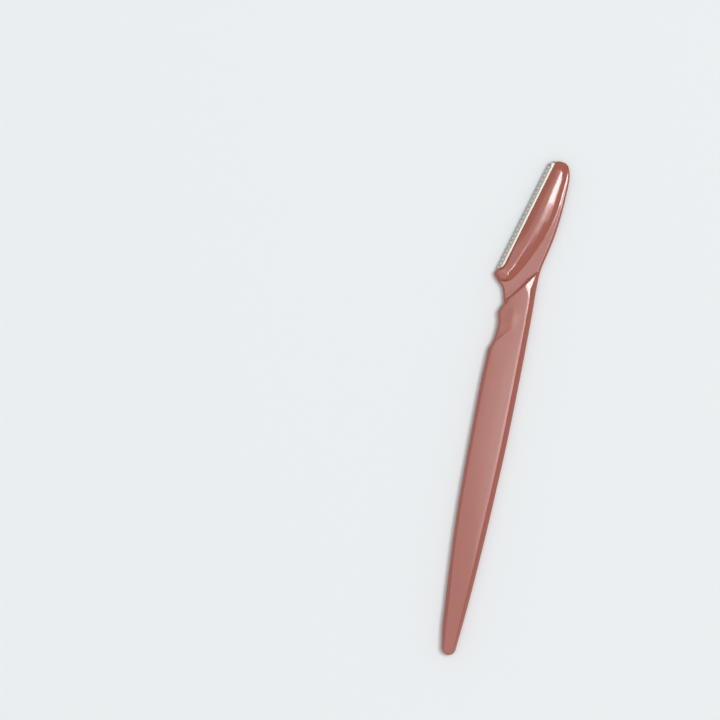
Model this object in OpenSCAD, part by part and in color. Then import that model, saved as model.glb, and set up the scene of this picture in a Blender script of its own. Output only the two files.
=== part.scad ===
// Eyebrow razor: a flat moulded handle with a leaf-shaped head, a straight steel blade
// set along one side of the head, and a slotted foil guard folded over the blade's edge.
// The razor lies on its back with its tail towards -Y, its tip towards +Y and its blade
// towards -X. The front and the back of the handle are mirror images.

/* [Grip] */
// Length from the tail to the corner where the head's web begins
grip_len = 106.7; // [96:0.1:118]
// Widest part of the grip, near its upper end
grip_w = 11.3; // [10:0.1:12.6]
// Width of the rounded tail
tail_w = 4.3; // [3.6:0.1:5]
// Thickness of the handle
thick = 4; // [3.4:0.1:4.8]
// Width of the sloping edge along the grip, seen from above
bevel_w = 1.1; // [0.7:0.05:1.4]
// Height of the upright side wall between the two sloping edges
side_h = 1.2; // [0.8:0.05:1.8]
// How far the neck lies below the grip where the lower crease starts
crease_drop = 0.35; // [0.15:0.05:0.6]

/* [Head] */
// Angle between the blade and the line from tail to tip
blade_lean = 13.6; // [10:0.1:17]
// Thickness of the flat web behind the leaf
web_t = 1.6; // [1.2:0.05:2.2]
// Thickness of the leaf at its crest
leaf_t = 3.1; // [2.7:0.05:3.6]
// Radius of the bowed crease between the leaf and the web
leaf_r = 53.3; // [50:0.1:60]
// Widest part of the leaf, from the blade's wall to the crease
leaf_w = 7.25; // [6.6:0.05:7.9]
// Radius of the leaf's round lower end
leaf_end_r = 2.6; // [2:0.1:3.2]
// Width of the head, from the blade's wall to the rim
head_w = 10.4; // [9.6:0.1:11.4]
// Sideways reach of the heel that shields the blade's lower end
heel_reach = 4.75; // [4.2:0.05:5.4]
// Height of the heel above the corner where the web begins
heel_rise = 8; // [7.2:0.1:9]
// Width of the sloping edge round the head
rim_w = 0.35; // [0.2:0.05:0.5]

/* [Blade] */
// Length of the blade
blade_len = 38.2; // [34:0.1:42]
// Width of the blade, from the cutting edge to the back
blade_w = 4.8; // [4.2:0.05:5.2]
// Thickness of the blade
blade_t = 0.2; // [0.15:0.01:0.3]
// Width of the ground bevel at the cutting edge
grind_w = 0.85; // [0.5:0.05:1]
// Diameter of the anchor holes that the plastic runs through
hole_d = 1.7; // [1.2:0.1:2.2]
// Number of anchor holes
hole_count = 3; // [2:1:4]

/* [Guard] */
// Thickness of the guard's foil
foil_t = 0.08; // [0.05:0.01:0.12]
// Width of the guard, from its fold to its edges
guard_w = 4.5; // [3.8:0.05:4.7]
// Width of blade and guard that shows beside the head
shown_w = 1.6; // [1.2:0.05:2]
// Distance from one guard slot to the next
slot_pitch = 1.4; // [1.2:0.05:2]
// Width of a guard slot
slot_w = 0.75; // [0.4:0.05:0.9]
// Depth of a guard slot, from the fold
slot_depth = 0.85; // [0.6:0.05:1.1]
// Length of the cut-off corners at both ends
corner_len = 1.6; // [1:0.1:2]
// Width of the cut-off corners
corner_w = 1; // [0.6:0.05:1.2]

/* [Fits] */
// Gap between the cutting edge and the inside of the fold
edge_gap = 0.04; // [0.02:0.01:0.08]
// Gap round the plastic pegs in the anchor holes
peg_gap = 0.02; // [0.01:0.01:0.05]

/* [Hidden] */
$fn = 48;

plastic_colour = "#af7468";
steel_colour = "#a9a6a2";
foil_colour = "#d6d3cb";

half_t = thick / 2;
web_half = web_t / 2;
leaf_half = leaf_t / 2;
side_half = side_h / 2;
blade_half = blade_t / 2;
guard_half = blade_half + foil_t;

// Shares of the grip, tail first: up the length, and out from the tail-to-tip line.
left_edge_shares = [
    [0.06, -0.265], [0.14, -0.358], [0.25, -0.468], [0.35, -0.556],
    [0.45, -0.62], [0.55, -0.665], [0.65, -0.704], [0.77, -0.744], [0.865, -0.75]
];
right_edge_shares = [
    [0.07, 0.215], [0.15, 0.248], [0.25, 0.276], [0.35, 0.294], [0.45, 0.3],
    [0.6, 0.299], [0.7, 0.281], [0.8, 0.254], [0.9, 0.222], [1, 0.181], [1.06, 0.149]
];
// The thumb hollow and the knuckle on the blade's side, in the same shares.
thumb_shares = [[0.889, -0.675], [0.914, -0.645], [0.945, -0.648]];
knuckle_share = [0.974, -0.722];
neck_corner_share = [1, -0.615];
// The lower crease runs from the thumb hollow to the middle of the neck.
crease_start_share = 0.888;
crease_end_share = [0.947, -0.2];
// The step between neck and web ends at this share of the blade's length above the corner,
// and bows a little on its way there.
step_end_share = 0.322;
step_bow_share = [0.45, 0.4];
// Underside of the heel, as shares of its reach and its rise.
heel_shares = [
    [0.098, 0.25], [0.195, 0.437], [0.369, 0.628], [0.65, 0.76], [0.79, 0.837], [0.95, 0.94], [0.995, 1.03]
];
// Upper side of the heel, as shares of the shown width and of the cut-off corner's length.
scallop_shares = [[0, 0.66], [0.1, 0.98], [0.35, 1.3], [0.72, 1.7], [1, 2.5]];
// The head's rim, as shares of the head's width and of the blade's length.
rim_shares = [
    [1.005, 0.19], [0.985, 0.255], [0.97, 0.35], [0.928, 0.482], [0.855, 0.612], [0.73, 0.774],
    [0.631, 0.881], [0.542, 0.951], [0.42, 1.001], [0.318, 1.0215], [0.24, 1.0245], [0.19, 1.0235]
];
// The head's upper corner at the blade's wall, in the same shares.
tip_corner_shares = [[0, 1], [0.03, 1.0068], [0.06, 1.013]];
// Width of the sloping edge: shares of the grip's length and of the slope's full width.
// On the right it keeps its width up to the neck. On the left it narrows to a share of it
// over the lower grip, and once more at the thumb hollow.
slope_shares = [[0, 0.42], [0.05, 0.6], [0.3, 0.95], [0.5, 1], [2, 1]];
slope_end_share = 1.06;
left_slope_share = 0.6;
left_slope_end_share = 0.35;
thumb_slope_share = 0.2;
// A slanting facet cuts the neck down towards the rim. It starts on a line through this
// place on the grip, faces this far round from the rim's side and reaches the web's height.
facet_share = [1.046, -0.066];
facet_turn = 34;
// How far the rounding beside the sloping edge falls, as a share of the handle's half thickness.
round_drop_share = 0.08;
round_width_share = 0.5;
// The leaf's crest lies this share of its width from the crease, and the ridge inside its
// lower end is rounded over this share of its depth.
crest_share = 0.56;
ridge_share = 1.5;
// The heel's and the leaf's lower ends lie this share of the end radius past the blade's end.
leaf_end_share = 0.46;
// Upright part of the wall beside the blade, as a share of the leaf's half thickness.
wall_share = 0.35;
// The tip is rounded over this share of the leaf's width.
tip_round_share = 0.17;
tip_height_share = 0.5;
// Places of the anchor holes across the plastic that covers the blade.
hole_across_share = 0.62;
hole_end_share = 0.16;
// Slant of the step between neck and web, as a share of the web's half thickness.
step_draft_share = 0.6;
// A zone of the surface narrower than this share of the rim's slope is left out.
narrow_share = 0.2;
// Grinding leaves this share of the blade's thickness at the edge.
edge_share = 0.12;
overrun = foil_t;

// The head's own frame starts where the fold of the guard meets the blade's lower end:
// u runs away from the fold, across the head, and v runs along the blade to the tip.
neck_corner = [neck_corner_share[1] * grip_w, neck_corner_share[0] * grip_len];
head_start = neck_corner + [-heel_reach, heel_rise];
function from_head(u, v) = head_start + [
    u * cos(blade_lean) + v * sin(blade_lean),
    v * cos(blade_lean) - u * sin(blade_lean)
];
function to_head(p) = let (d = p - head_start) [
    d[0] * cos(blade_lean) - d[1] * sin(blade_lean),
    d[0] * sin(blade_lean) + d[1] * cos(blade_lean)
];

// A curve is a list of [y, x, smooth] with y rising. It passes through each point,
// and bends there only where smooth is 0.
function rise(c, i) = (c[i + 1][1] - c[i][1]) / (c[i + 1][0] - c[i][0]);
function slope(c, i, side) =
    i == 0 ? rise(c, 0)
    : i == len(c) - 1 ? rise(c, i - 1)
    : c[i][2] == 0 ? rise(c, side > 0 ? i : i - 1)
    : let (below = c[i][0] - c[i - 1][0], above = c[i + 1][0] - c[i][0])
        (rise(c, i - 1) * above + rise(c, i) * below) / (above + below);
function along(c, y) =
    y <= c[0][0] ? c[0][1]
    : y >= c[len(c) - 1][0] ? c[len(c) - 1][1]
    : let (
        i = len([for (p = c) if (p[0] <= y) 1]) - 1,
        h = c[i + 1][0] - c[i][0],
        t = (y - c[i][0]) / h
    )
        c[i][1] * (1 + 2 * t) * (1 - t) * (1 - t)
        + slope(c, i, 1) * h * t * (1 - t) * (1 - t)
        + c[i + 1][1] * t * t * (3 - 2 * t)
        + slope(c, i + 1, -1) * h * t * t * (t - 1);
function turned(p, smooth) = [p[1], p[0], smooth];
function between(a, b, i, n) = i == n ? b : a + (b - a) * i / n;
function soft_step(a, b, y) = let (t = min(1, max(0, (y - a) / (b - a)))) t * t * (3 - 2 * t);

// Outline of the handle. The tail is half a circle, from which both edges start.
tail_r = tail_w / 2;
tail_y = tail_r;
function head_place(s) = from_head(shown_w + s[0] * head_w, s[1] * blade_len);
tip_y = head_place(rim_shares[len(rim_shares) - 1])[1];
shoulder_y = head_place(rim_shares[5])[1];
thumb_y = left_edge_shares[8][0] * grip_len;
left_edge = concat(
    [[tail_y, -tail_r, 1]],
    [for (s = left_edge_shares) [s[0] * grip_len, s[1] * grip_w, s[0] * grip_len < thumb_y ? 1 : 0]],
    [for (s = thumb_shares) [s[0] * grip_len, s[1] * grip_w, 1]],
    [[knuckle_share[0] * grip_len, knuckle_share[1] * grip_w, 0]],
    [turned(neck_corner, 0)],
    [for (s = heel_shares) turned(neck_corner + [-s[0] * heel_reach, s[1] * heel_rise], 1)],
    [for (i = [0:4]) turned(
        from_head(scallop_shares[i][0] * shown_w, scallop_shares[i][1] * corner_len),
        i < 4 ? 1 : 0
    )],
    [for (i = [0:2]) turned(head_place(tip_corner_shares[i]), i)]
);
right_edge = concat(
    [[tail_y, tail_r, 1]],
    [for (s = right_edge_shares) [s[0] * grip_len, s[1] * grip_w, 1]],
    [for (s = rim_shares) turned(head_place(s), 1)]
);
function tail_half(y, inset) =
    let (r = tail_r - inset) sqrt(max(0, r * r - (tail_y - y) * (tail_y - y)));
function left_x(y) = y < tail_y ? -tail_half(y, 0) : along(left_edge, y);
function right_x(y) = y < tail_y ? tail_half(y, 0) : along(right_edge, y);

// The crease between leaf and web: a large arc, with a small one round the lower end.
crease_mid = [shown_w + leaf_w - leaf_r, blade_len / 2];
leaf_end_v = -leaf_end_r * leaf_end_share;
end_mid = let (v = leaf_end_v + leaf_end_r, reach = leaf_r - leaf_end_r)
    [crease_mid[0] + sqrt(reach * reach - (v - crease_mid[1]) * (v - crease_mid[1])), v];
crease_steps = 10;
crease = concat(
    [for (i = [0:4]) let (a = blade_lean - 90 + i * (78 - blade_lean) / 4)
        turned(from_head(end_mid[0] + leaf_end_r * cos(a), end_mid[1] + leaf_end_r * sin(a)), 1)],
    [for (i = [1:crease_steps]) let (
        v = end_mid[1] + (blade_len - end_mid[1]) * i / crease_steps,
        d = v - crease_mid[1]
    )
        turned(from_head(crease_mid[0] + sqrt(leaf_r * leaf_r - d * d), v), 1)]
);
leaf_low_y = crease[0][0];

// Depth inside the leaf's outline, with the two arcs joined and the ridge between them rounded.
function leaf_depth(p) = let (
    q = to_head(p),
    in_arc = leaf_r - norm(q - crease_mid),
    in_end = q[1] - leaf_end_v,
    low = min(in_arc, in_end),
    apart = abs(in_arc - in_end),
    reach = ridge_share * max(0, low - leaf_end_r)
)
    in_arc < leaf_end_r && in_end < leaf_end_r
        ? leaf_end_r - norm([leaf_end_r - in_arc, leaf_end_r - in_end])
        : low - (apart < reach ? (reach - apart) * (reach - apart) / (4 * reach) : 0);
// Each section of the leaf is a parabola from the crease over the crest to the blade's side,
// and as high as the leaf is wide there.
leaf_rise = leaf_half - web_half;
function leaf_top(p) = let (
    d = max(0, leaf_depth(p)),
    width = d + max(0, p[0] - left_x(p[1])) * cos(blade_lean)
)
    web_half + (d > 0 ? leaf_rise / leaf_w * d / crest_share * (2 - d / crest_share / width) : 0);
// The tip rounds down over its last stretch.
tip_round = leaf_w * tip_round_share;
function tip_fall(y) = let (t = max(0, (y - tip_y + tip_round) / tip_round))
    1 - (1 - tip_height_share) * (1 - sqrt(max(0, 1 - t * t)));

// Where the neck steps down to the web, and where its lower crease runs.
crease_start_y = crease_start_share * grip_len;
crease_end = [crease_end_share[1] * grip_w, crease_end_share[0] * grip_len];
step_end_y = neck_corner[1] + step_end_share * blade_len;
step_end = [right_x(step_end_y), step_end_y];
fold_line = [
    [crease_start_y, left_x(crease_start_y) + slope_left(crease_start_y), 0],
    turned(crease_end, 0),
    turned(neck_corner, 0),
    turned(neck_corner + [
        step_bow_share[0] * (step_end[0] - neck_corner[0]),
        step_bow_share[1] * (step_end[1] - neck_corner[1])
    ], 1),
    turned(step_end, 0)
];

// Width of the sloping edge and height of its foot on either side.
function full_slope(y) = bevel_w * along([for (s = slope_shares) [s[0] * grip_len, s[1], 1]], y);
function slope_left(y) =
    y > neck_corner[1] ? rim_w
    : full_slope(y) * (1 - (1 - left_slope_share) * soft_step(tail_y, left_slope_end_share * grip_len, y))
        * (1 - thumb_slope_share * soft_step(thumb_y, crease_start_y, y));
function slope_right(y) =
    full_slope(y) + (rim_w - full_slope(y)) * soft_step(slope_end_share * grip_len, step_end_y, y);
function foot_left(y) =
    let (t = y < neck_corner[1] ? 0 : soft_step(leaf_low_y, head_start[1], y))
        side_half * (1 - t) + leaf_half * wall_share * t;

// Height of the surface in each zone, from the middle plane.
facet_start = [facet_share[1] * grip_w, facet_share[0] * grip_len];
facet_way = [cos(facet_turn), sin(facet_turn)];
facet_grade = (half_t - web_half) / ((step_end - facet_start) * facet_way);
function neck_top(p) = half_t - facet_grade * max(0, (p - facet_start) * facet_way);
function low_neck_top(y) =
    half_t - crease_drop * (1 - min(1, max(0, y - crease_start_y) / (crease_end[1] - crease_start_y)));

// One half of the section at y, from the left edge to the right edge, as [x, y, height].
leaf_cols = 8;
web_cols = 3;
grip_cols = 4;
round_drop = half_t * round_drop_share;
narrow = rim_w * narrow_share;
// Moves x onto a border that lies closer than the narrowest zone.
function snapped(x, low, high) = x < low + narrow ? low : x > high - narrow ? high : x;

// The rounded tail: the sloping edge runs round it, so its face starts further in.
function tail_section(y) =
    let (
        slope = slope_left(y),
        round = slope * round_width_share,
        top = half_t - round_drop,
        z1 = side_half + (top - side_half) * min(1, y / slope),
        z2 = y < slope ? z1 : top + round_drop * min(1, (y - slope) / round),
        outer = tail_half(y, 0),
        inner = tail_half(y, slope),
        flat = tail_half(y, slope + round)
    )
        concat(
            [[-outer, y, side_half], [-inner, y, z1]],
            [for (i = [0:leaf_cols + web_cols]) [-flat, y, z2]],
            [for (i = [0:grip_cols]) [between(-flat, flat, i, grip_cols), y, z2]],
            [[inner, y, z1], [outer, y, side_half]]
        );

// Everywhere else the section has a zone for the leaf, one for the web and one for the
// grip and neck, each of which may shrink to nothing.
function body_section(y) =
    let (
        left = left_x(y),
        right = right_x(y),
        slope_l = slope_left(y),
        slope_r = slope_right(y),
        start = left + slope_l * (1 + round_width_share),
        end = right - slope_r * (1 + round_width_share),
        x1 = y <= leaf_low_y ? start : snapped(along(crease, y), start, end),
        x2 = y <= crease_start_y ? start
            : y >= step_end_y ? end
            : snapped(along(fold_line, y), x1, end),
        foot = snapped(x2 - step_draft_share * web_half, x1, x2),
        leaf = x1 > start,
        grip = x2 < end,
        web = x2 > x1,
        end_z = x1 < end ? web_half : leaf_top([end, y]),
        web_z = y > neck_corner[1] ? end_z : low_neck_top(y),
        first_z = leaf ? leaf_top([start, y]) : web ? web_z : neck_top([start, y]),
        last_z = grip ? neck_top([end, y]) : web_z,
        field = concat(
            [for (i = [0:leaf_cols]) let (x = between(start, x1, i, leaf_cols))
                [x, leaf ? leaf_top([x, y]) : first_z]],
            [for (i = [1:web_cols]) [between(x1, foot, i, web_cols), leaf || web ? web_z : first_z]],
            [for (i = [0:grip_cols]) let (x = between(x2, end, i, grip_cols))
                [x, grip ? neck_top([x, y]) : last_z]]
        ),
        fall = tip_fall(y)
    )
        [for (p = concat(
            [[left, min(foot_left(y), first_z)], [left + slope_l, first_z - round_drop]],
            field,
            [[right - slope_r, last_z - round_drop], [right, min(side_half, last_z - round_drop)]]
        )) [p[0], y, p[1] * fall]];
function section(y) = y < tail_y ? tail_section(y) : body_section(y);

// Stations along the handle, closer together where its outline turns.
function spread(a, b, n) = [for (i = [0:n - 1]) a + (b - a) * i / n];
function rounded(a, b, n) = [for (i = [0:n - 1]) a + (b - a) * (1 - cos(90 * i / n))];
function eased_out(a, b, n) = [for (i = [0:n]) a + (b - a) * sin(90 * i / n)];
stations = concat(
    rounded(0, tail_y, 6),
    spread(tail_y, left_edge_shares[3][0] * grip_len, 8),
    spread(left_edge_shares[3][0] * grip_len, thumb_y, 8),
    spread(thumb_y, crease_start_y, 3),
    spread(crease_start_y, crease_end[1], 6),
    spread(crease_end[1], knuckle_share[0] * grip_len, 4),
    spread(knuckle_share[0] * grip_len, neck_corner[1], 4),
    spread(neck_corner[1], leaf_low_y, 9),
    spread(leaf_low_y, head_start[1], 7),
    spread(head_start[1], step_end_y, 12),
    spread(step_end_y, shoulder_y, 9),
    spread(shoulder_y, tip_y - tip_round, 7),
    eased_out(tip_y - tip_round, tip_y, 6)
);

rows = [for (y = stations) section(y)];
row_len = len(rows[0]);
lowest_x = min([for (r = rows) r[0][0]]);
highest_x = max([for (r = rows) r[row_len - 1][0]]);
centre = [-(lowest_x + highest_x) / 2, -tip_y / 2, half_t];

// The moulding before the blade is set in it: the section run along the stations,
// front and back, with the triangles that shrink to a line left out.
module moulding() {
    count = len(rows);
    points = concat(
        [for (r = rows) for (p = r) p],
        [for (r = rows) for (p = r) [p[0], p[1], -p[2]]]
    );
    under = count * row_len;
    function real(f) = points[f[0]] != points[f[1]] && points[f[1]] != points[f[2]]
        && points[f[0]] != points[f[2]];
    quads = concat(
        [for (i = [0:count - 2]) for (j = [0:row_len - 2]) let (a = i * row_len + j, b = a + row_len)
            [a, b, b + 1, a + 1]],
        [for (i = [0:count - 2]) for (j = [0:row_len - 2])
            let (a = under + i * row_len + j, b = a + row_len) [a, a + 1, b + 1, b]],
        [for (i = [0:count - 2]) let (a = i * row_len, b = a + row_len) [a, under + a, under + b, b]],
        [for (i = [0:count - 2]) let (a = i * row_len + row_len - 1, b = a + row_len)
            [a, b, under + b, under + a]],
        [for (j = [0:row_len - 2]) [j, j + 1, under + j + 1, under + j]],
        [for (j = [0:row_len - 2]) let (a = (count - 1) * row_len + j)
            [a, under + a, under + a + 1, a + 1]]
    );
    triangles = [for (q = quads) for (f = [[q[0], q[1], q[2]], [q[0], q[2], q[3]]]) if (real(f)) f];
    polyhedron(points = points, faces = triangles, convexity = 8);
}

module in_head() {
    translate([head_start[0], head_start[1], 0]) rotate([0, 0, -blade_lean]) children();
}

// Outline of the steel that both blade and guard are cut to, from u = from to u = to.
module blank(from, to) {
    polygon([
        [max(from, 0), corner_len * (1 - max(from, 0) / corner_w)], [corner_w, 0], [to, 0],
        [to, blade_len], [corner_w, blade_len],
        [max(from, 0), blade_len - corner_len * (1 - max(from, 0) / corner_w)]
    ]);
}

cutting_u = foil_t + edge_gap;
blade_back = cutting_u + blade_w;
hole_u = shown_w + (guard_w - shown_w) * hole_across_share;
module at_holes() {
    for (i = [0:hole_count - 1])
        translate([hole_u, blade_len * (hole_end_share + i * (1 - 2 * hole_end_share) / (hole_count - 1)), 0])
            children();
}

// Space that blade and guard take up in the moulding, round the pegs.
module steel_space() {
    difference() {
        union() {
            translate([0, 0, -guard_half]) linear_extrude(guard_half * 2) blank(0, guard_w);
            translate([0, 0, -blade_half]) linear_extrude(blade_t) blank(0, blade_back);
        }
        at_holes() cylinder(h = thick, d = hole_d - 2 * peg_gap, center = true);
    }
}

// Handle: one injection moulding, with its pegs through the steel.
module handle() {
    color(plastic_colour) translate(centre)
        difference() {
            moulding();
            in_head() steel_space();
        }
}

// Blade: a flat steel strip, ground from both faces to its edge.
module blade() {
    edge_half = blade_half * edge_share;
    color(steel_colour) translate(centre) in_head()
        difference() {
            intersection() {
                translate([0, blade_len, 0]) rotate([90, 0, 0]) linear_extrude(blade_len)
                    polygon([
                        [cutting_u, -edge_half], [cutting_u + grind_w, -blade_half],
                        [blade_back, -blade_half], [blade_back, blade_half],
                        [cutting_u + grind_w, blade_half], [cutting_u, edge_half]
                    ]);
                translate([0, 0, -blade_t]) linear_extrude(blade_t * 2) blank(0, blade_back);
            }
            at_holes() cylinder(h = thick, d = hole_d, center = true);
        }
}

// Guard: thin foil folded over the cutting edge, with slots across the fold.
slot_count = floor((blade_len - 2 * corner_len - slot_w) / slot_pitch) + 1;
slot_start = (blade_len - (slot_count - 1) * slot_pitch) / 2;
module guard() {
    inner_nose = blade_half * edge_share + edge_gap;
    outer_nose = inner_nose + foil_t / 2;
    shoulder = cutting_u + grind_w;
    color(foil_colour) translate(centre) in_head()
        difference() {
            intersection() {
                translate([0, blade_len, 0]) rotate([90, 0, 0]) linear_extrude(blade_len)
                    polygon([
                        [guard_w, -guard_half], [shoulder, -guard_half], [foil_t, -outer_nose],
                        [0, -inner_nose], [0, inner_nose], [foil_t, outer_nose],
                        [shoulder, guard_half], [guard_w, guard_half], [guard_w, blade_half],
                        [shoulder, blade_half], [foil_t, inner_nose],
                        [foil_t, -inner_nose], [shoulder, -blade_half], [guard_w, -blade_half]
                    ]);
                translate([0, 0, -thick / 2]) linear_extrude(thick) blank(0, guard_w);
            }
            for (i = [0:slot_count - 1])
                translate([-overrun, slot_start + i * slot_pitch - slot_w / 2, -guard_half - overrun])
                    cube([slot_depth + overrun, slot_w, 2 * (guard_half + overrun)]);
            at_holes() cylinder(h = thick, d = hole_d, center = true);
        }
}

handle();
blade();
guard();
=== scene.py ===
# Eyebrow razor: a moulded pink-brown handle, a steel blade set along one side of its head, and
# a slotted foil guard folded over the blade's edge. It lies on pale paper in soft side light.
from math import cos, exp, hypot, pi, radians, sin, sqrt

import bmesh
import bpy
from mathutils import Matrix, Vector
from mathutils.kdtree import KDTree


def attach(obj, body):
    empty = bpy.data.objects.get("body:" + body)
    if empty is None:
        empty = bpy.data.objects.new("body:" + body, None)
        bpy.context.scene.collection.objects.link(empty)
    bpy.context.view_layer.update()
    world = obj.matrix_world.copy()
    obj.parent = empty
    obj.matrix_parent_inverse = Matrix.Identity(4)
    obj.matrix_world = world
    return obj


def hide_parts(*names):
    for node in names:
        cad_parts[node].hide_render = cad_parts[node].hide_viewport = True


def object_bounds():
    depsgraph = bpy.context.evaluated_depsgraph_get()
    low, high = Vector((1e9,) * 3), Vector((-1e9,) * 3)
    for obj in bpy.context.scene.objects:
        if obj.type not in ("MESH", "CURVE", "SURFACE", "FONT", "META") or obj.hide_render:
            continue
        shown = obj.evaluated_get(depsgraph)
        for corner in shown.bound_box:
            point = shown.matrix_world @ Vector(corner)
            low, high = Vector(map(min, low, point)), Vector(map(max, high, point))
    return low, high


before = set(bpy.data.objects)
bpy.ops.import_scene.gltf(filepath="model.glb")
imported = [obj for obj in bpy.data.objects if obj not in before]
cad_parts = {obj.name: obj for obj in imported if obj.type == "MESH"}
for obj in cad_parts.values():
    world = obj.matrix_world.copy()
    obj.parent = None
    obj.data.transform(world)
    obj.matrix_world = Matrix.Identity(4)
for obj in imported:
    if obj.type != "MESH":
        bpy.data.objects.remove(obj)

cad_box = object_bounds()


# Handle. The real one is a single injection moulding in dyed styrene plastic, glossy from the
# polished mould. Its front and back are mirror images that meet at the parting line, halfway
# up the side wall. All its sizes are in millimetres, from the tail upwards.
MM = 0.001
grip_len = 106.7
grip_w = 11.3
tail_r = 2.15
half_t = 2.0  # from the parting line to the flat face
side_half = 0.6  # from the parting line to the top of the side wall
bevel_w = 1.1  # the sloping edge between side wall and face
crease_drop = 0.35  # from the neck down to the web, in the thumb hollow
neck_corner = (-0.615 * grip_w, grip_len)

# The head leans towards the blade's side. Its web is thin, and on it stands a leaf that holds
# the steel. The leaf's crease has one radius along its side and one round its lower end.
blade_lean = radians(13.6)
heel_reach = 4.75
heel_rise = 8.0
head_start = (neck_corner[0] - heel_reach, neck_corner[1] + heel_rise)
head_w = 10.4
blade_len = 38.2
shown_w = 1.6  # the strip of steel and foil that stands clear of the plastic
corner_len = 1.6  # the slanting corners at the strip's two ends
web_half = 0.8
leaf_half = 1.55
leaf_w = 7.25
leaf_r = 53.3
leaf_end_r = 2.6
leaf_end_v = -1.196
crest_share = 0.57  # how far across the leaf its crest lies, from the crease
hollow_w = 0.5  # the hollow in the web beside the crease


def from_head(u, v):
    """A place in the head's own frame: u runs away from the guard's fold, and v to the tip."""
    return (head_start[0] + u * cos(blade_lean) + v * sin(blade_lean),
            head_start[1] + v * cos(blade_lean) - u * sin(blade_lean))


def to_head(x, y):
    """The u and v of a place in the handle's frame."""
    dx = x - head_start[0]
    dy = y - head_start[1]
    return dx * cos(blade_lean) - dy * sin(blade_lean), dx * sin(blade_lean) + dy * cos(blade_lean)


def rise(curve, i):
    """Slope of the straight line from a curve's point i to the next."""
    return (curve[i + 1][1] - curve[i][1]) / (curve[i + 1][0] - curve[i][0])


def slope(curve, i, side):
    """Slope of a curve at its point i, seen from above it, or from below if side is negative."""
    if i == 0:
        return rise(curve, 0)
    if i == len(curve) - 1:
        return rise(curve, i - 1)
    if not curve[i][2]:
        return rise(curve, i if side > 0 else i - 1)
    below = curve[i][0] - curve[i - 1][0]
    above = curve[i + 1][0] - curve[i][0]
    return (rise(curve, i - 1) * above + rise(curve, i) * below) / (above + below)


def along(curve, y):
    """The x of a curve of (y, x, smooth) points at y. It bends sharply where smooth is 0."""
    if y <= curve[0][0]:
        return curve[0][1]
    if y >= curve[-1][0]:
        return curve[-1][1]
    i = sum(1 for p in curve if p[0] <= y) - 1
    h = curve[i + 1][0] - curve[i][0]
    t = (y - curve[i][0]) / h
    return (curve[i][1] * (1 + 2 * t) * (1 - t) ** 2 + slope(curve, i, 1) * h * t * (1 - t) ** 2
            + curve[i + 1][1] * t * t * (3 - 2 * t) + slope(curve, i + 1, -1) * h * t * t * (t - 1))


def soft_step(a, b, y):
    """Goes smoothly from 0 at a to 1 at b."""
    t = min(1, max(0, (y - a) / (b - a)))
    return t * t * (3 - 2 * t)


def lower(a, b, soft):
    """The lower of two surfaces, with a rounded edge where they meet."""
    return min(a, b) - max(0, soft - abs(a - b)) ** 2 / (4 * soft)


def higher(a, b, soft):
    """The higher of two surfaces, with a hollow fillet where they meet."""
    return -lower(-a, -b, soft)


def on_head(points, smooth):
    """Points given as shares of the head's width and of the blade's length, for a curve."""
    placed = [from_head(shown_w + u * head_w, v * blade_len) for u, v in points]
    return [(y, x, smooth) for x, y in placed]


# The grip's outline has shares of grip_len and then of grip_w. The heel's upper side has shares
# of heel_reach and heel_rise, and the notch at the strip's lower end those of its slanting corner.
left_shares = [(0.06, -0.265), (0.14, -0.358), (0.25, -0.468), (0.35, -0.556), (0.45, -0.62),
               (0.55, -0.665), (0.65, -0.704), (0.77, -0.744), (0.865, -0.75)]
thumb_shares = [(0.889, -0.675), (0.914, -0.645), (0.945, -0.648)]
knuckle_share = (0.974, -0.722)
heel_shares = [(0.098, 0.25), (0.195, 0.437), (0.369, 0.628), (0.65, 0.76), (0.79, 0.837),
               (0.95, 0.94), (0.995, 1.03)]
notch_shares = [(0, 0.66), (0.1, 0.98), (0.35, 1.3), (0.72, 1.7), (1, 2.5)]
tip_shares = [(0.03, 1.0068), (0.06, 1.013)]
right_shares = [(0.07, 0.215), (0.15, 0.248), (0.25, 0.276), (0.35, 0.294), (0.45, 0.3),
                (0.6, 0.299), (0.7, 0.281), (0.8, 0.254), (0.9, 0.222), (1, 0.181), (1.06, 0.149)]
rim_shares = [(1.005, 0.19), (0.985, 0.255), (0.97, 0.35), (0.928, 0.482), (0.855, 0.612),
              (0.73, 0.774), (0.631, 0.881), (0.542, 0.951), (0.42, 1.001), (0.318, 1.0215),
              (0.24, 1.0245), (0.19, 1.0235)]
thumb_y = left_shares[-1][0] * grip_len
thumb_x = left_shares[-1][1] * grip_w
notch = [from_head(u * shown_w, v * corner_len) for u, v in notch_shares]
wall_y = notch[-1][1]
left_edge = [(tail_r, -tail_r, 1)]
left_edge += [(s * grip_len, w * grip_w, s * grip_len < thumb_y) for s, w in left_shares]
left_edge += [(s * grip_len, w * grip_w, 1) for s, w in thumb_shares]
left_edge += [(knuckle_share[0] * grip_len, knuckle_share[1] * grip_w, 0)]
left_edge += [(neck_corner[1], neck_corner[0], 0)]
left_edge += [(neck_corner[1] + h * heel_rise, neck_corner[0] - w * heel_reach, 1)
              for w, h in heel_shares]
left_edge += [(y, x, y < wall_y) for x, y in notch]
left_edge += on_head([(0, 1)], 0) + on_head(tip_shares, 1)
right_edge = [(tail_r, tail_r, 1)]
right_edge += [(s * grip_len, w * grip_w, 1) for s, w in right_shares]
right_edge += on_head(rim_shares, 1)
tip_y = right_edge[-1][0]


def tail_half(y):
    """Half the width of the tail's round end."""
    return sqrt(max(0, tail_r ** 2 - (tail_r - y) ** 2))


def left_x(y):
    """The x of the outline on the blade's side."""
    return -tail_half(y) if y < tail_r else along(left_edge, y)


def right_x(y):
    """The x of the outline on the other side."""
    return tail_half(y) if y < tail_r else along(right_edge, y)


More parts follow.
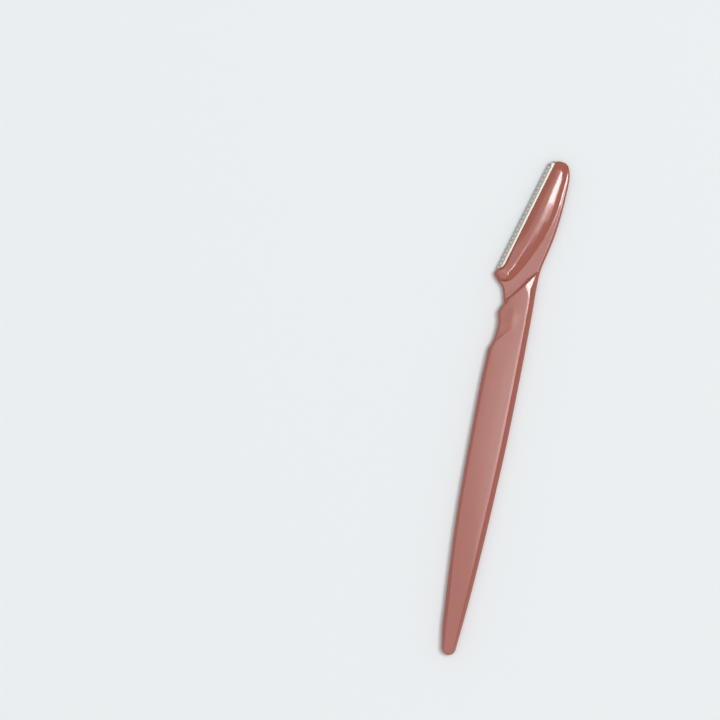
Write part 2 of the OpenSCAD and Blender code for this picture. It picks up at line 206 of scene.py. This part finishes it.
# The crease round the leaf is a large arc with a small one round its lower end. Near the tip
# the leaf flares out past the large arc.
crease_mid = (shown_w + leaf_w - leaf_r, blade_len / 2)
end_v = leaf_end_v + leaf_end_r
end_mid = (crease_mid[0] + sqrt((leaf_r - leaf_end_r) ** 2 - (end_v - crease_mid[1]) ** 2), end_v)
end_turns = (blade_lean - radians(90), radians(-12))
end_points = 5
side_points = 10
flare_w = 0.4
flare_range = (30, 37)


def arc_u(inset, v):
    """The u at v of the large arc, or of an arc that runs this far inside it."""
    return crease_mid[0] + sqrt((leaf_r - inset) ** 2 - (v - crease_mid[1]) ** 2)


crease = []
for n in range(end_points):
    turn = end_turns[0] + n * (end_turns[1] - end_turns[0]) / (end_points - 1)
    x, y = from_head(end_mid[0] + leaf_end_r * cos(turn), end_mid[1] + leaf_end_r * sin(turn))
    crease.append((y, x, 1))
for n in range(1, side_points + 1):
    v = end_v + (blade_len - end_v) * n / side_points
    x, y = from_head(arc_u(0, v) + flare_w * soft_step(*flare_range, v), v)
    crease.append((y, x, 1))
leaf_low_y = crease[0][0]

# The fold between the neck and the web starts as a fine crease in the thumb hollow, turns at
# the neck's corner and ends as a step that runs out in the rim.
crease_start_y = 0.888 * grip_len
crease_end = (-0.2 * grip_w, 0.947 * grip_len)
step_end_y = neck_corner[1] + 0.322 * blade_len
step_end = (right_x(step_end_y), step_end_y)
step_bow = (neck_corner[0] + 0.45 * (step_end[0] - neck_corner[0]),
            neck_corner[1] + 0.4 * (step_end[1] - neck_corner[1]))
slope_shares = [(0, 0.42, 1), (0.05 * grip_len, 0.6, 1), (0.3 * grip_len, 0.95, 1),
                (0.5 * grip_len, 1, 1), (2 * grip_len, 1, 1)]
left_narrowing = 0.4
thumb_narrowing = 0.2


def right_slope(y):
    """Width of the sloping edge on the right of the grip."""
    return bevel_w * along(slope_shares, y)


def left_slope(y):
    """The same on the left, where it narrows from the tail up and again by the thumb hollow."""
    narrowed = 1 - left_narrowing * soft_step(tail_r, 0.35 * grip_len, y)
    return right_slope(y) * narrowed * (1 - thumb_narrowing * soft_step(thumb_y, crease_start_y, y))


fold_line = [
    (crease_start_y, left_x(crease_start_y) + left_slope(crease_start_y), 0),
    (crease_end[1], crease_end[0], 0),
    (neck_corner[1], neck_corner[0], 0),
    (step_bow[1], step_bow[0], 1),
    (step_end[1], step_end[0], 0),
]

# A flat facet falls from the neck to the web at the step's end.
facet_start = (-0.066 * grip_w, 1.046 * grip_len)
facet_turn = radians(34)


def past_facet(x, y):
    """How far a place lies past the facet's upper border, measured the way that it falls."""
    return (x - facet_start[0]) * cos(facet_turn) + (y - facet_start[1]) * sin(facet_turn)


facet_grade = (half_t - web_half) / past_facet(*step_end)

# Relief of the leaf. A range says between which places along the blade something sets in.
hollow_grade = 0.17
hollow_range = (17, 25)
fall_start = 26.8  # from here web and leaf fall slightly to the tip
fall_grade = 0.018
dome_range = (9, 17)  # the ridge on the leaf's lower end turns into the dome
wall_grade = 0.53  # the dome's grade where it meets the steel
crest_shift = 0.045  # near the tip the crest moves this share of the width towards the crease
crest_range = (28, 34)
fuller_share = 0.28
fuller_range = (28, 40)
tip_start = 35.3
tip_curve = 0.05
thin_start = 20.5  # from here down the dome gets lower
thin_grade = 0.01
ridge_levels = [(-1.5, 0.73, 0), (1.5, 0.94, 0), (5.5, 0.72, 0), (17, 0.5475, 0)]
ridge_soft = 0.21
ridge_inset = 2.05  # how far inside the crease the ridge runs
inset_gain = 1.2  # and how much farther up the leaf
inset_range = (1, 12)
ridge_end_share = 0.3  # the ridge starts nearer to the crease, at the leaf's lower end
ridge_end_range = (-1, 2.5)
plateau_curve = 0.03


def ridge_depth(v):
    """How far inside the crease the ridge runs on the leaf's lower end."""
    inset = ridge_inset + inset_gain * soft_step(*inset_range, v)
    return inset * (ridge_end_share + (1 - ridge_end_share) * soft_step(*ridge_end_range, v))


ridge_line = []
for v in range(-1, int(blade_len) + 1):
    x, y = from_head(arc_u(ridge_depth(v), v), v)
    ridge_line.append((y, x, 1))


def crease_depth(u, v):
    """How far a place lies inside the crease. It is negative outside."""
    in_arc = leaf_r - hypot(u - crease_mid[0], v - crease_mid[1])
    in_end = v - leaf_end_v
    low = min(in_arc, in_end)
    if in_arc < leaf_end_r and in_end < leaf_end_r:
        depth = leaf_end_r - hypot(leaf_end_r - in_arc, leaf_end_r - in_end)
    elif low > leaf_end_r:
        depth = lower(in_arc, in_end, 1.5 * (low - leaf_end_r) + 0.001)
    else:
        depth = low
    return depth + flare_w * soft_step(*flare_range, v)


def dome_height(depth, width, v):
    """Height of the dome: it curves up from the crease to its crest, and down to the steel."""
    grade = 2 * (leaf_half - web_half) / leaf_w / crest_share
    crest = crest_share - crest_shift * soft_step(*crest_range, v)
    past = depth / width - crest
    if past < 0:
        dome = grade * depth * (1 - depth / width / crest / 2)
    else:
        dome = width * (grade * crest / 2 - wall_grade * past ** 2 / (1 - crest) / 2)
    dome *= 1 + fuller_share * soft_step(*fuller_range, v)
    return dome - tip_curve * max(0, v - tip_start) ** 2 - thin_grade * max(0, thin_start - v)


def ridge_height(depth, v):
    """Height of the leaf's lower end: a slope up to the ridge, and a nearly level top inside."""
    level = along(ridge_levels, v)
    grade = level / ridge_depth(v)
    plateau = level - plateau_curve * max(0, depth - ridge_depth(v)) ** 2
    return lower(grade * depth, plateau, min(ridge_soft, grade ** 2))


def leaf_height(x, y):
    """Height of the leaf over the web, which rises a little towards it in a hollow."""
    u, v = to_head(x, y)
    depth = crease_depth(u, v)
    into_hollow = max(0, hollow_w + min(0, depth))
    lift = hollow_grade * soft_step(*hollow_range, v) * into_hollow ** 2 / hollow_w / 2
    lift -= fall_grade * max(0, v - fall_start)
    if depth <= 0:
        return lift
    width = depth + max(0, x - left_x(y)) * cos(blade_lean)
    domed = soft_step(*dome_range, v)
    return lift + domed * dome_height(depth, width, v) + (1 - domed) * ridge_height(depth, v)


# Relief of grip and neck. The ranges are along the handle.
crown_side = 1  # the crown lies this far to the left of the middle
crown_reach = 7
crown_curve = 0.0034
flatter_curve = 0.0022  # the neck's crown is flatter by this
flatter_range = (84, 103)
side_grade = 0.015  # the neck's left side falls away slightly
side_range = (96, 102)
side_soft = 0.8
swell_height = 0.072  # a swell stands over the thumb hollow
swell_place = (-3.5, 102.4)
swell_size = (1.3, 2.6)
sunk_depth = 0.05
sunk_range = (88, 103)
facet_soft = 0.12


def neck_height(x, y):
    """Height of grip and neck: a slight crown, a low swell above the thumb hollow, and a facet."""
    left = min(left_x(y), thumb_x) if y > thumb_y else left_x(y)
    middle = (left + right_x(y)) / 2 - crown_side
    curve = crown_curve - flatter_curve * soft_step(*flatter_range, y)
    crown = curve * min(crown_reach, abs(x - middle)) ** 2
    side = side_grade * soft_step(*side_range, y) * higher(0, crease_end[0] - x, side_soft)
    across = (x - swell_place[0]) / swell_size[0]
    upward = (y - swell_place[1]) / swell_size[1]
    swell = swell_height * exp(-across ** 2 - upward ** 2)
    face = half_t - sunk_depth * soft_step(*sunk_range, y) - crown - side + swell
    return lower(face, half_t - facet_grade * past_facet(x, y), facet_soft)


def step_run(y):
    """How far along the step y is, from 0 at the neck's corner to 1 in the rim."""
    return max(0, y - neck_corner[1]) / (step_end_y - neck_corner[1])


# Relief where the neck drops to the web. What is gained is added towards the rim, or towards
# the thumb hollow.
band_w = 0.43
band_gain = 0.8
foot_grade = 8
step_grade = 0.6
step_gain = 0.7
crease_grade = 0.25
thumb_gain = 2.55
crease_soft = 0.06
step_soft = 0.04
foot_soft = 0.08


def step_band(y):
    """Width of the slope between neck and web, which ends in an upright foot."""
    return band_w + band_gain * step_run(y)


def face_height(x, y):
    """Height of the whole face from the parting line, without its sloping edges."""
    neck = neck_height(x, y)
    if y < crease_start_y - 0.5:
        return neck
    fold_x = along(fold_line, y)
    to_thumb = max(0, (crease_end[1] - y) / (crease_end[1] - crease_start_y))
    under = neck - crease_drop * min(1.1, to_thumb) ** 2
    on_step = soft_step(neck_corner[1] - 0.3, neck_corner[1] + 0.3, y)
    low = under * (1 - on_step) + (web_half + leaf_height(x, y)) * on_step
    if y > step_end_y:
        return low
    run = step_run(y)
    grade = (crease_grade + thumb_gain * to_thumb ** 4) * (1 - on_step)
    grade += (step_grade + step_gain * run ** 3) * on_step
    chamfer = neck + (x - fold_x) * grade
    wall = min(chamfer, low + max(0, x - fold_x + step_band(y)) * foot_grade) if run else chamfer
    edge = crease_soft + (step_soft - crease_soft) * on_step
    drop = max(0.001, neck - low)
    return higher(low, lower(neck, wall, min(edge, drop)), min(foot_soft, drop * 0.3))


# Kinds of sloping edge, each with the height of its foot over the parting line, its grade, and
# how rounded its top is.
neck_kind = (side_half, 2.25, 0.32)
web_kind = (0.4, 1.2, 0.22)
steel_kind = (0.22, 2.4, 0.1)
rim_kind = (0.3, 1.1, 0.3)
tip_kind = (0.4, 1.3, 0.44)
edge_height = 1.24


def grip_kind(width):
    """The kind of edge along the grip, where it is this wide."""
    return side_half, edge_height / width, 0.45 * width / bevel_w + 0.1


def between(kind_a, kind_b, share):
    """A kind of edge that is this share of the way from one kind to another."""
    return tuple(a + share * (b - a) for a, b in zip(kind_a, kind_b))


def left_kind(y):
    """The kind of edge on the blade's side."""
    if y < neck_corner[1] - 0.6:
        return grip_kind(left_slope(y))
    if y < leaf_low_y:
        return between(neck_kind, web_kind, soft_step(neck_corner[1] - 0.6, neck_corner[1] + 0.8, y))
    if y < wall_y:
        return between(web_kind, steel_kind, soft_step(leaf_low_y, wall_y, y))
    return between(steel_kind, tip_kind, soft_step(tip_y - 2.5, tip_y - 0.5, y))


def to_rim(y):
    """How far the right edge has changed from the grip's kind to the rim's, from 0 to 1."""
    return soft_step(1.03 * grip_len, step_end_y, y)


def right_kind(y):
    """The kind of edge on the side away from the blade."""
    if y < tip_y - 6:
        return between(grip_kind(right_slope(y)), rim_kind, to_rim(y))
    return between(rim_kind, tip_kind, soft_step(tip_y - 6, tip_y - 0.5, y))


# The outline as close-set points, each with the kind of sloping edge that runs along it. They
# are closest at the very tail, and a row of them closes the flat end of the tip.
outline_step = 0.02
tail_step = 0.003
tail_end_y = 0.3
tip_points = 80
outline = []
y = 0.0
while y <= tip_y:
    outline.append((left_x(y), y, left_kind(y)))
    outline.append((right_x(y), y, right_kind(y)))
    y += tail_step if y < tail_end_y else outline_step
for n in range(tip_points):
    share = n / (tip_points - 1)
    x = left_x(tip_y) * (1 - share) + right_x(tip_y) * share
    outline.append((x, tip_y, right_kind(tip_y)))
near = KDTree(len(outline))
for n, point in enumerate(outline):
    near.insert((point[0], point[1], 0), n)
near.balance()


# The roll-off before the right edge, and the rounded turn from the side wall to either edge.
roll_w = 1.4
roll_narrowing = 0.5
roll_narrowing_range = (60, 90)
roll_rim_narrowing = 0.55
roll_grade = 0.16
roll_start_range = (20, 40)
roll_end_range = (tip_y - 13, tip_y - 8)
rim_edge_w = 0.45
turn_share = 0.23
turn_depth = 0.65


def right_roll(x, y, away):
    """How far the face has rolled off gently before it reaches the sloping edge on the right."""
    if x < (left_x(y) + right_x(y)) / 2:
        return 0
    run = roll_w - roll_narrowing * soft_step(*roll_narrowing_range, y)
    run -= roll_rim_narrowing * to_rim(y)
    edge_w = right_slope(y) * (1 - to_rim(y)) + rim_edge_w * to_rim(y)
    steepest = roll_grade * soft_step(*roll_start_range, y) * (1 - soft_step(*roll_end_range, y))
    return steepest * max(0, edge_w + run - away) ** 2 / run / 2


def surface(x, y):
    """Height of the finished moulding from the parting line."""
    _, n, away = near.find((x, y, 0))
    foot, grade, soft = outline[n][2]
    corner = turn_share * foot
    turned = turn_depth * corner * (1 - sqrt(max(0, 1 - max(0, 1 - away / corner) ** 2)))
    return lower(face_height(x, y) - right_roll(x, y, away), foot + grade * away, soft) - turned


def spread(a, b, n):
    """This many evenly spaced values from a towards b, without b."""
    return [a + (b - a) * i / n for i in range(n)]


# Places of the mesh's rows along the handle. They are closest where its form turns fastest.
stations = [tail_r * (1 - cos(radians(90) * n / 12)) for n in range(12)]
stations += spread(tail_r, 26, 30) + spread(26, thumb_y, 50) + spread(thumb_y, crease_start_y, 9)
stations += spread(crease_start_y, crease_end[1], 24)
stations += spread(crease_end[1], neck_corner[1] - 1, 14)
stations += spread(neck_corner[1] - 1, neck_corner[1] + 1, 14)
stations += spread(neck_corner[1] + 1, leaf_low_y - 0.5, 16)
stations += spread(leaf_low_y - 0.5, head_start[1] + 1.6, 44)
stations += spread(head_start[1] + 1.6, step_end_y + 0.6, 18)
stations += spread(step_end_y + 0.6, tip_y - 3, 74)
stations += [tip_y - 3 + 3 * sin(radians(90) * n / 18) for n in range(19)]

wall_steps = [0, 0.5]
edge_steps = [0, 0.006, 0.02, 0.045, 0.08, 0.12]


def lean(side_x, y):
    """How much longer a row's cut through the sloping edge is where the side runs aslant."""
    gained = side_x(min(tip_y, y + 0.01)) - side_x(max(0, y - 0.01))
    return min(8, hypot(1, gained / 0.02))


def edge_reach(x, y, kind):
    """Width of the sloping edge, with its rounded top, for a side at this place."""
    foot, grade, soft = kind
    return max(0.2, min(2.1, (face_height(x, y) - foot + soft) / grade + 0.1))


def section(y):
    """The half section at y as (x, height) from the left side of the parting line to the right."""
    left = left_x(y)
    right = right_x(y)
    middle = (left + right) / 2
    lean_left = lean(left_x, y)
    lean_right = lean(right_x, y)
    start = min(left + lean_left * edge_reach(left, y, left_kind(y)), middle)
    end = max(right - lean_right * edge_reach(right, y, right_kind(y)), middle)

    # The crease and the fold line are kept between the sloping edges. Below its start each lies
    # at the left one, and past the step's end the fold line lies at the right one.
    crease_x = start
    if y > leaf_low_y:
        crease_x = min(end, max(start, along(crease, y)))
    fold_x = start
    if y >= step_end_y:
        fold_x = end
    elif y > crease_start_y:
        fold_x = min(end, max(crease_x, along(fold_line, y)))

    # The columns gather at the side, the ridge, the crease, the foot of the step and its edge.
    places = [min(middle, left + e * lean_left) for e in edge_steps]
    places += [places[-1] + (start - places[-1]) * i / 7 for i in range(1, 7)]
    inner = max(start, crease_x - 0.3)
    outer = min(end, crease_x + hollow_w)
    ridge_x = min(inner, max(start, along(ridge_line, y)))
    ridge_left = max(start, ridge_x - 0.3)
    ridge_right = min(inner, ridge_x + 0.3)
    places += spread(start, ridge_left, 5) + spread(ridge_left, ridge_right, 8)
    places += spread(ridge_right, inner, 5) + spread(inner, crease_x, 3) + spread(crease_x, outer, 4)
    foot_x = max(outer, fold_x - step_band(y) - 0.1)
    knee_x = min(end, foot_x + 0.3)
    edge_x = max(knee_x, fold_x - 0.12)
    neck_x = min(end, max(edge_x, fold_x + 0.25))
    places += spread(outer, foot_x, 4) + spread(foot_x, knee_x, 4) + spread(knee_x, edge_x, 2)
    places += spread(edge_x, neck_x, 3) + spread(neck_x, end, 10)
    last = max(middle, right - edge_steps[-1] * lean_right)
    places += [end + (last - end) * i / 7 for i in range(7)]
    places += [max(middle, right - e * lean_right) for e in reversed(edge_steps)]

    heights = [surface(x, y) for x in places]
    walls_left = [(left, heights[0] * s) for s in wall_steps]
    walls_right = [(right, heights[-1] * s) for s in reversed(wall_steps)]
    return walls_left + list(zip(places, heights)) + walls_right


# The shift brings the middle of the razor to the origin, on the surface that it lies on.
sections = [section(y) for y in stations]
columns = len(sections[0])
rows = len(stations)
shift = Vector((-(min(left_x(y) for y in stations) + max(right_x(y) for y in stations)) / 2,
                -tip_y / 2, half_t))

# A grid takes the sections' form. Its last row drops to the parting line and closes the tip.
# The mirror makes the back, and both halves are welded along the parting line.
moulding = bmesh.new()
bmesh.ops.create_grid(moulding, x_segments=columns - 1, y_segments=rows, size=0.5)
for vert in moulding.verts:
    column = round((vert.co.x + 0.5) * (columns - 1))
    row = round((vert.co.y + 0.5) * rows)
    station = min(row, rows - 1)
    x, height = sections[station][column]
    vert.co = (Vector((x, stations[station], height if row < rows else 0)) + shift) * MM
    vert.co.x = max(cad_box[0][0], min(cad_box[1][0], vert.co.x))
bmesh.ops.remove_doubles(moulding, verts=moulding.verts, dist=1e-7)
bmesh.ops.dissolve_degenerate(moulding, edges=moulding.edges, dist=1e-8)
bmesh.ops.mirror(moulding, geom=moulding.verts[:] + moulding.edges[:] + moulding.faces[:],
                 matrix=Matrix.Translation((0, 0, -half_t * MM)), axis="Z")
seam = [vert for vert in moulding.verts if abs(vert.co.z - half_t * MM) < 1e-7]
bmesh.ops.remove_doubles(moulding, verts=seam, dist=1e-7)
bmesh.ops.recalc_face_normals(moulding, faces=moulding.faces)


def finished(name, shape):
    """Makes a smooth-shaded piece of a shape and frees the shape."""
    mesh = bpy.data.meshes.new(name)
    shape.to_mesh(mesh)
    shape.free()
    mesh.shade_smooth()
    piece = bpy.data.objects.new(name, mesh)
    bpy.context.scene.collection.objects.link(piece)
    return piece


def linear(colour):
    """An sRGB hex colour as the linear colour that shaders read."""
    parts = [int(colour[i:i + 2], 16) / 255 for i in (1, 3, 5)]
    return [p / 12.92 if p <= 0.04045 else ((p + 0.055) / 1.055) ** 2.4 for p in parts] + [1]


def add_node(material, kind, settings={}, links={}):
    """Adds a node with its settings, by name or place, and links outputs to its inputs."""
    node = material.node_tree.nodes.new(kind)
    for name, value in settings.items():
        if isinstance(name, int) or name in node.inputs:
            node.inputs[name].default_value = value
        else:
            setattr(node, name, value)
    for name, output in links.items():
        material.node_tree.links.new(output, node.inputs[name])
    return node


# Dyed styrene, injection moulded in a polished steel mould. The eye sees a clear gloss that is
# broken up a little by flow lines along the handle, and a colour that drifts slightly. The flow
# lines are about 0.9 mm wide and 6 mm long, and the drift's patches are about 4 mm wide.
flow_scale = 1100
drift_scale = 260
styrene = bpy.data.materials.new("moulded_styrene")
styrene.use_nodes = True
shader = styrene.node_tree.nodes["Principled BSDF"]
shader.inputs["IOR"].default_value = 1.59
place = add_node(styrene, "ShaderNodeTexCoord").outputs["Object"]
stretched = add_node(styrene, "ShaderNodeMapping", {"Scale": (1, 0.16, 1)}, {"Vector": place}).outputs[0]
flow = add_node(styrene, "ShaderNodeTexNoise", {"Scale": flow_scale, "Detail": 3},
                {"Vector": stretched}).outputs[0]
drift = add_node(styrene, "ShaderNodeTexNoise", {"Scale": drift_scale, "Detail": 2},
                 {"Vector": place}).outputs[0]
tint = add_node(styrene, "ShaderNodeMix",
                {"data_type": "RGBA", 6: linear("#9e5141"), 7: linear("#a45544")},
                {0: drift}).outputs[2]
styrene.node_tree.links.new(tint, shader.inputs["Base Color"])
gloss = add_node(styrene, "ShaderNodeMapRange", {"To Min": 0.07, "To Max": 0.12},
                 {"Value": flow}).outputs[0]
styrene.node_tree.links.new(gloss, shader.inputs["Roughness"])
bump = add_node(styrene, "ShaderNodeBump", {"Strength": 1.0, "Distance": 0.0015 * MM},
                {"Height": flow}).outputs[0]
styrene.node_tree.links.new(bump, shader.inputs["Normal"])

handle = finished("handle_moulding", moulding)
handle.data.materials.append(styrene)
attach(handle, "root")
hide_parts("handle")


# Blade. The real one is a strip of hardened stainless steel, ground from both faces to its
# edge. Plastic holds its back, and the guard covers all but what the slots lay bare. The CAD's
# own blade has its ground bevels and stays.

# Stainless steel, ground: fine lines across the strip spread its shine. Real lines are about
# 0.02 mm apart. They are drawn 0.15 mm apart so that they show.
grinding_scale = 6500
ground_steel = bpy.data.materials.new("ground_stainless_steel")
ground_steel.use_nodes = True
shader = ground_steel.node_tree.nodes["Principled BSDF"]
shader.inputs["Metallic"].default_value = 1
place = add_node(ground_steel, "ShaderNodeTexCoord").outputs["Object"]
stretched = add_node(ground_steel, "ShaderNodeMapping",
                     {"Rotation": (0, 0, blade_lean), "Scale": (0.2, 1, 1)},
                     {"Vector": place}).outputs[0]
lines = add_node(ground_steel, "ShaderNodeTexNoise", {"Scale": grinding_scale, "Detail": 2},
                 {"Vector": stretched}).outputs[0]
tint = add_node(ground_steel, "ShaderNodeMix",
                {"data_type": "RGBA", 6: linear("#88837d"), 7: linear("#a29e97")},
                {0: lines}).outputs[2]
ground_steel.node_tree.links.new(tint, shader.inputs["Base Color"])
gloss = add_node(ground_steel, "ShaderNodeMapRange", {"To Min": 0.3, "To Max": 0.5},
                 {"Value": lines}).outputs[0]
ground_steel.node_tree.links.new(gloss, shader.inputs["Roughness"])
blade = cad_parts["blade"]
blade.data.materials.clear()
blade.data.materials.append(ground_steel)


# Guard. The real one is stainless foil with a row of etched slots, folded over the cutting edge
# so that the teeth between the slots keep the skin off it. Its edges end inside the plastic.
foil_t = 0.08
guard_w = 4.5
corner_w = 1.0
slot_pitch = 1.4
slot_w = 0.75
slot_depth = 0.85
slot_count = 25
slot_start = (blade_len - (slot_count - 1) * slot_pitch) / 2

# The foil's section, as (u, height over the blade's middle) from the front round to the back.
fold = [(guard_w, 0.14), (3.0, 0.14), (1.9, 0.14), (1.45, 0.14), (1.1, 0.14), (slot_depth, 0.137),
        (0.72, 0.126), (0.55, 0.109), (0.35, 0.093), (0.16, 0.078), (0.08, 0.062), (0.045, 0.035),
        (0.04, 0)]
fold += [(u, -z) for u, z in reversed(fold[:-1])]

# Where the foil's rows of faces begin along the blade, and which of them are taken out within the
# slots' depth. The narrow rows at a slot's sides and at the strip's ends keep the shine there.
slot_border = 0.09
end_row = 0.8
cuts = [0, end_row]
open_rows = []
for n in range(slot_count):
    middle = slot_start + n * slot_pitch
    slot_low = middle - slot_w / 2
    slot_high = middle + slot_w / 2
    open_rows += range(len(cuts), len(cuts) + 4)
    cuts += [slot_low, slot_low + slot_border, middle, slot_high - slot_border, slot_high]
cuts += [blade_len - end_row, blade_len]

foil = bmesh.new()
bmesh.ops.create_grid(foil, x_segments=len(fold) - 1, y_segments=len(cuts) - 1, size=0.5)
open_faces = []
for face in foil.faces:
    centre = face.calc_center_median()
    column = int((centre.x + 0.5) * (len(fold) - 1))
    row = int((centre.y + 0.5) * (len(cuts) - 1))
    if row in open_rows and max(fold[column][0], fold[column + 1][0]) <= slot_depth:
        open_faces.append(face)
for vert in foil.verts:
    u, z = fold[round((vert.co.x + 0.5) * (len(fold) - 1))]
    row = round((vert.co.y + 0.5) * (len(cuts) - 1))
    vert.co = (u, cuts[row], z)
bmesh.ops.delete(foil, geom=open_faces, context="FACES")
for end, inward in ((0, 1), (blade_len, -1)):
    bmesh.ops.bisect_plane(foil, geom=foil.verts[:] + foil.edges[:] + foil.faces[:], dist=1e-5,
                           plane_co=(0, end + inward * corner_len, 0),
                           plane_no=(-corner_len, -inward * corner_w, 0), clear_outer=True)
in_head = Matrix.Translation(shift * MM) @ Matrix.Scale(MM, 4) @ Matrix.Translation(
    (head_start[0], head_start[1], 0)) @ Matrix.Rotation(-blade_lean, 4, "Z")
bmesh.ops.transform(foil, matrix=in_head, verts=foil.verts)
bmesh.ops.recalc_face_normals(foil, faces=foil.faces)

# Half-hard stainless foil with a satin, rolled surface: it looks like fine grey speckle that
# runs along the strip, and it is brighter than the blade. The specks are about 0.4 mm wide and
# 0.9 mm long, coarser than real ones, so that they show.
speckle_scale = 2600
foil_steel = bpy.data.materials.new("rolled_stainless_foil")
foil_steel.use_nodes = True
shader = foil_steel.node_tree.nodes["Principled BSDF"]
shader.inputs["Metallic"].default_value = 1
place = add_node(foil_steel, "ShaderNodeTexCoord").outputs["Object"]
stretched = add_node(foil_steel, "ShaderNodeMapping",
                     {"Rotation": (0, 0, blade_lean), "Scale": (1, 0.45, 1)},
                     {"Vector": place}).outputs[0]
speckle = add_node(foil_steel, "ShaderNodeTexNoise",
                   {"Scale": speckle_scale, "Detail": 4, "Roughness": 0.65},
                   {"Vector": stretched}).outputs[0]
tint = add_node(foil_steel, "ShaderNodeMix",
                {"data_type": "RGBA", 6: linear("#908a82"), 7: linear("#b5b2ab")},
                {0: speckle}).outputs[2]
foil_steel.node_tree.links.new(tint, shader.inputs["Base Color"])
gloss = add_node(foil_steel, "ShaderNodeMapRange", {"To Min": 0.3, "To Max": 0.55},
                 {"Value": speckle}).outputs[0]
foil_steel.node_tree.links.new(gloss, shader.inputs["Roughness"])
bump = add_node(foil_steel, "ShaderNodeBump", {"Strength": 1.0, "Distance": 0.01 * MM},
                {"Height": speckle}).outputs[0]
foil_steel.node_tree.links.new(bump, shader.inputs["Normal"])

guard = finished("guard_foil", foil)
guard.data.set_sharp_from_angle(angle=radians(35))
wall = guard.modifiers.new("foil thickness", "SOLIDIFY")
wall.thickness = foil_t * MM
wall.offset = 0
guard.data.materials.append(foil_steel)
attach(guard, "root")
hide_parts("guard")


# Paper. A wide sheet of pale, matt paper lies under the razor and keeps its shadow. It lies a
# little lower than the razor, so that their faces don't coincide.
paper_half = 1100 * MM
paper_drop = 0.02 * MM
sheet = bmesh.new()
bmesh.ops.create_grid(sheet, x_segments=4, y_segments=4, size=paper_half)
bmesh.ops.translate(sheet, verts=sheet.verts, vec=(0, 0, -paper_drop))
paper = finished("paper_floor", sheet)
card = bpy.data.materials.new("matt_paper")
card.use_nodes = True
shader = card.node_tree.nodes["Principled BSDF"]
shader.inputs["Base Color"].default_value = linear("#f1f4f5")
shader.inputs["Roughness"].default_value = 0.9
shader.inputs["Specular IOR Level"].default_value = 0
paper.data.materials.append(card)

# Beyond the paper the room is pale grey as well. It is seen and mirrored at its full strength,
# and lights the razor and the paper with a share of it.
room_light = 0.57
room = bpy.data.worlds.new("pale_room")
room.use_nodes = True
bpy.context.scene.world = room
back = room.node_tree.nodes["Background"]
back.inputs["Color"].default_value = linear("#e2e4e6")
ray = add_node(room, "ShaderNodeLightPath").outputs
seen = add_node(room, "ShaderNodeMath", {"operation": "ADD"},
                {0: ray["Is Camera Ray"], 1: ray["Is Glossy Ray"]}).outputs[0]
seen = add_node(room, "ShaderNodeMath", {"operation": "ADD", "use_clamp": True},
                {0: seen, 1: ray["Is Transmission Ray"]}).outputs[0]
power = add_node(room, "ShaderNodeMapRange", {"To Min": room_light, "To Max": 1.0},
                 {"Value": seen}).outputs[0]
room.node_tree.links.new(power, back.inputs["Strength"])


# Lamps. A bright softbox stands to the right, and a wide, dimmer one hangs overhead. Dimmer
# bands round both soften their borders in the gloss. The lamps' own right and up are turned a
# little on the floor, so that the borders run across the leaf as in the photograph.
lamp_turn = radians(-5.94)
subject = Vector((0, 0, half_t * MM))


def softbox(name, right, up, radiance, far):
    """A lamp that covers these ranges of directions, as sines, seen from the razor."""
    middle_right = sum(right) / 2
    middle_up = sum(up) / 2
    way = Vector((middle_right * cos(lamp_turn) - middle_up * sin(lamp_turn),
                  middle_right * sin(lamp_turn) + middle_up * cos(lamp_turn), 0))
    way.z = sqrt(1 - way.length_squared)
    lamp = bpy.data.lights.new(name, "AREA")
    lamp.shape = "RECTANGLE"
    lamp.size = (right[1] - right[0]) * far / way.z
    lamp.size_y = (up[1] - up[0]) * far
    lamp.energy = radiance * lamp.size * lamp.size_y * pi
    box = bpy.data.objects.new(name, lamp)
    box.location = subject + way * far
    side = Vector((cos(lamp_turn), sin(lamp_turn), 0))
    across = (side - way * side.dot(way)).normalized()
    box.rotation_mode = "QUATERNION"
    box.rotation_quaternion = Matrix((across, way.cross(across), way)).transposed().to_quaternion()
    box.visible_camera = False
    bpy.context.scene.collection.objects.link(box)


softbox("side_softbox", right=(0.13, 0.44), up=(0.083, 0.14), radiance=12, far=5)
softbox("side_softbox_top", right=(0.2, 0.36), up=(0.14, 0.33), radiance=12, far=5)
softbox("side_softbox_edge", right=(0.11, 0.48), up=(0.035, 0.17), radiance=2.4, far=5.2)
softbox("side_softbox_top_edge", right=(0.16, 0.4), up=(0.17, 0.37), radiance=2.4, far=5.2)
softbox("side_softbox_foot", right=(0.17, 0.5), up=(0.006, 0.035), radiance=2.6, far=5.2)
softbox("side_glow", right=(0.06, 0.31), up=(-0.035, 0.42), radiance=0.8, far=5.4)
softbox("side_glow_edge", right=(0, 0.33), up=(-0.035, 0.45), radiance=1.0, far=5.6)
softbox("overhead_softbox", right=(-0.32, 0.35), up=(-0.4, 0.4), radiance=0.6, far=6)
softbox("overhead_softbox_edge", right=(-0.5, 0.4), up=(-0.46, 0.46), radiance=0.42, far=6.2)

# Camera. It looks straight down from 1.2 m through a long lens, turned to the photograph's
# upright, with the razor to the right of its middle as in the photograph.
picture_turn = radians(12.86)
camera_height = 1202 * MM
view_middle = (Vector((-45.142, 80.472, 0)) + shift) * MM
lens = bpy.data.cameras.new("long_lens")
lens.lens = 200
lens.sensor_width = 36
camera = bpy.data.objects.new("camera", lens)
camera.location = (view_middle.x, view_middle.y, camera_height)
camera.rotation_euler = (0, 0, picture_turn)
bpy.context.scene.collection.objects.link(camera)
bpy.context.scene.camera = camera
bpy.context.scene.view_settings.view_transform = "Standard"
